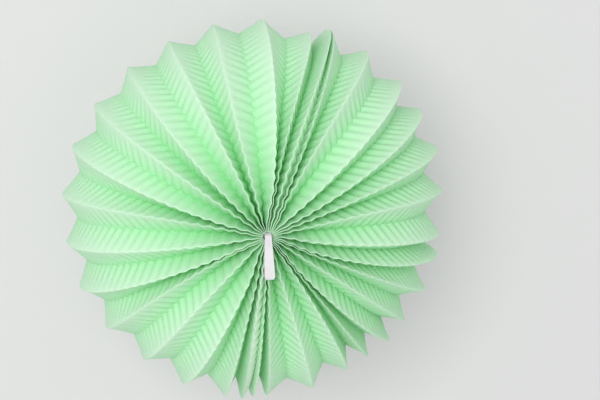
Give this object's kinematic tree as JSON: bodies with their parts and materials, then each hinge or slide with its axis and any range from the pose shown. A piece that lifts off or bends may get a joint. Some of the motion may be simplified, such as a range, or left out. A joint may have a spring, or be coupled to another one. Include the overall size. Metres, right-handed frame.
{
  "type": "pleated paper ball",
  "caption": "Mint green ball decoration of fan-folded paper with fine cross creases, gathered at both poles, with a white hanging loop.",
  "frame": {"origin": "middle of the ball, which is the centre of its box", "axes": "+Z along the axis through both poles, up to the pole with the hanging loop; -Y towards the closing seam; +X to the right of that seam seen from the seam's side with the loop up"},
  "size_m": [0.1998, 0.2, 0.2025],
  "materials": {
    "paper_left": "matte, dyed mint green through",
    "paper_right": "matte, dyed mint green through",
    "seam_tape": "pale double-sided tape, satin",
    "tape_liner": "white release paper, satin",
    "thread": "white sewing thread",
    "ribbon": "white woven ribbon, satin"
  },
  "bodies": {
    "root": {"pleated_sheet_left": "paper_left", "pleated_sheet_right": "paper_right", "bonded_seam_tape": "seam_tape", "closing_seam_tape": "seam_tape", "tape_liner": "tape_liner", "tie_thread_top": "thread", "tie_thread_bottom": "thread", "hanging_loop": "ribbon"}
  },
  "joints": []
}
